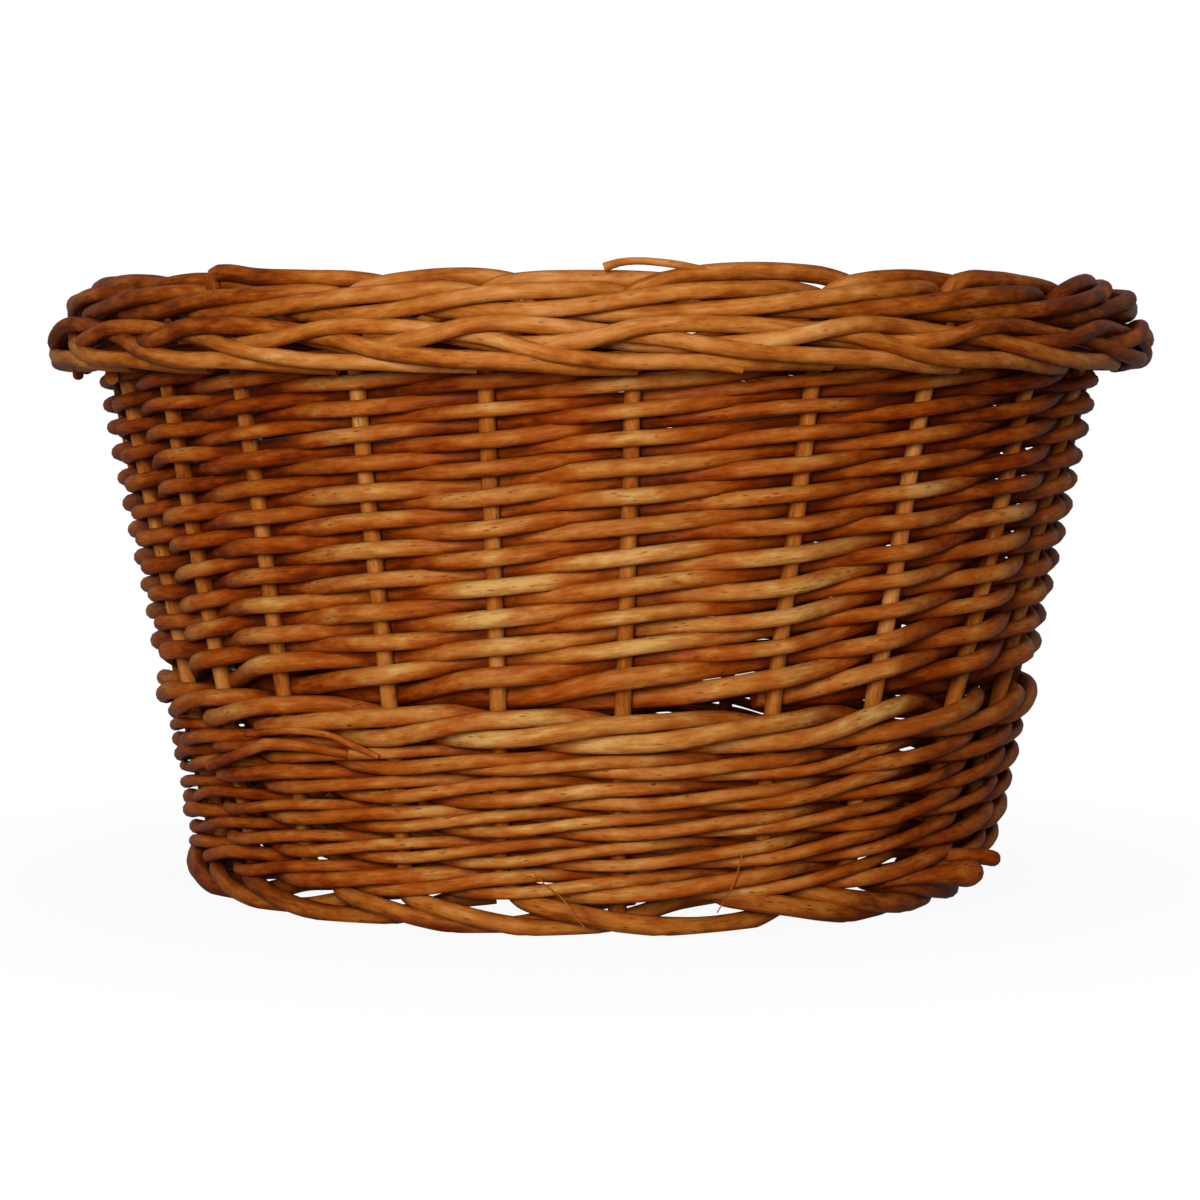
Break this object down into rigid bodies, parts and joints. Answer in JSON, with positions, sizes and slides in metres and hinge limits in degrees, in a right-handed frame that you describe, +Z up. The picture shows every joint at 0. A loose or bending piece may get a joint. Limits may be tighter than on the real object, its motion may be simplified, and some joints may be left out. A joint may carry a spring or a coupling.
{
  "type": "woven basket",
  "caption": "Round willow basket with a flared woven side, a rolled and plaited border, waling at the bottom and a small border underneath as its foot.",
  "frame": {"origin": "on the floor under the middle of the basket", "axes": "+Z up; -Y is the side that the picture shows, +X to its right"},
  "size_m": [0.3977, 0.3981, 0.2164],
  "materials": {
    "stake_willow": "buff willow, smooth, thin clear varnish",
    "weaver_willow": "buff willow, smooth, thin clear varnish",
    "base_willow": "buff willow, plain"
  },
  "bodies": {
    "root": {"base_sticks": "base_willow", "base_weaver_1": "base_willow", "base_weaver_2": "base_willow", "lower_wale_rod_1": "weaver_willow", "lower_wale_rod_2": "weaver_willow", "lower_wale_rod_3": "weaver_willow", "side_weaver_01": "weaver_willow", "side_weaver_02": "weaver_willow", "side_weaver_03": "weaver_willow", "side_weaver_04": "weaver_willow", "side_weaver_05": "weaver_willow", "side_weaver_06": "weaver_willow", "side_weaver_07": "weaver_willow", "side_weaver_08": "weaver_willow", "side_weaver_09": "weaver_willow", "side_weaver_10": "weaver_willow", "side_weaver_11": "weaver_willow", "side_weaver_12": "weaver_willow", "side_weaver_13": "weaver_willow", "side_weaver_14": "weaver_willow", "side_weaver_15": "weaver_willow", "side_weaver_16": "weaver_willow", "side_weaver_17": "weaver_willow", "side_weaver_18": "weaver_willow", "side_weaver_19": "weaver_willow", "side_weaver_20": "weaver_willow", "side_weaver_21": "weaver_willow", "side_weaver_22": "weaver_willow", "side_weaver_23": "weaver_willow", "side_weaver_24": "weaver_willow", "stake_01": "stake_willow", "stake_02": "stake_willow", "stake_03": "stake_willow", "stake_04": "stake_willow", "stake_05": "stake_willow", "stake_06": "stake_willow", "stake_07": "stake_willow", "stake_08": "stake_willow", "stake_09": "stake_willow", "stake_10": "stake_willow", "stake_11": "stake_willow", "stake_12": "stake_willow", "stake_13": "stake_willow", "stake_14": "stake_willow", "stake_15": "stake_willow", "stake_16": "stake_willow", "stake_17": "stake_willow", "stake_18": "stake_willow", "stake_19": "stake_willow", "stake_20": "stake_willow", "stake_21": "stake_willow", "stake_22": "stake_willow", "stake_23": "stake_willow", "stake_24": "stake_willow", "upper_wale_rod_1": "weaver_willow", "upper_wale_rod_2": "weaver_willow", "upper_wale_rod_3": "weaver_willow"}
  },
  "joints": []
}
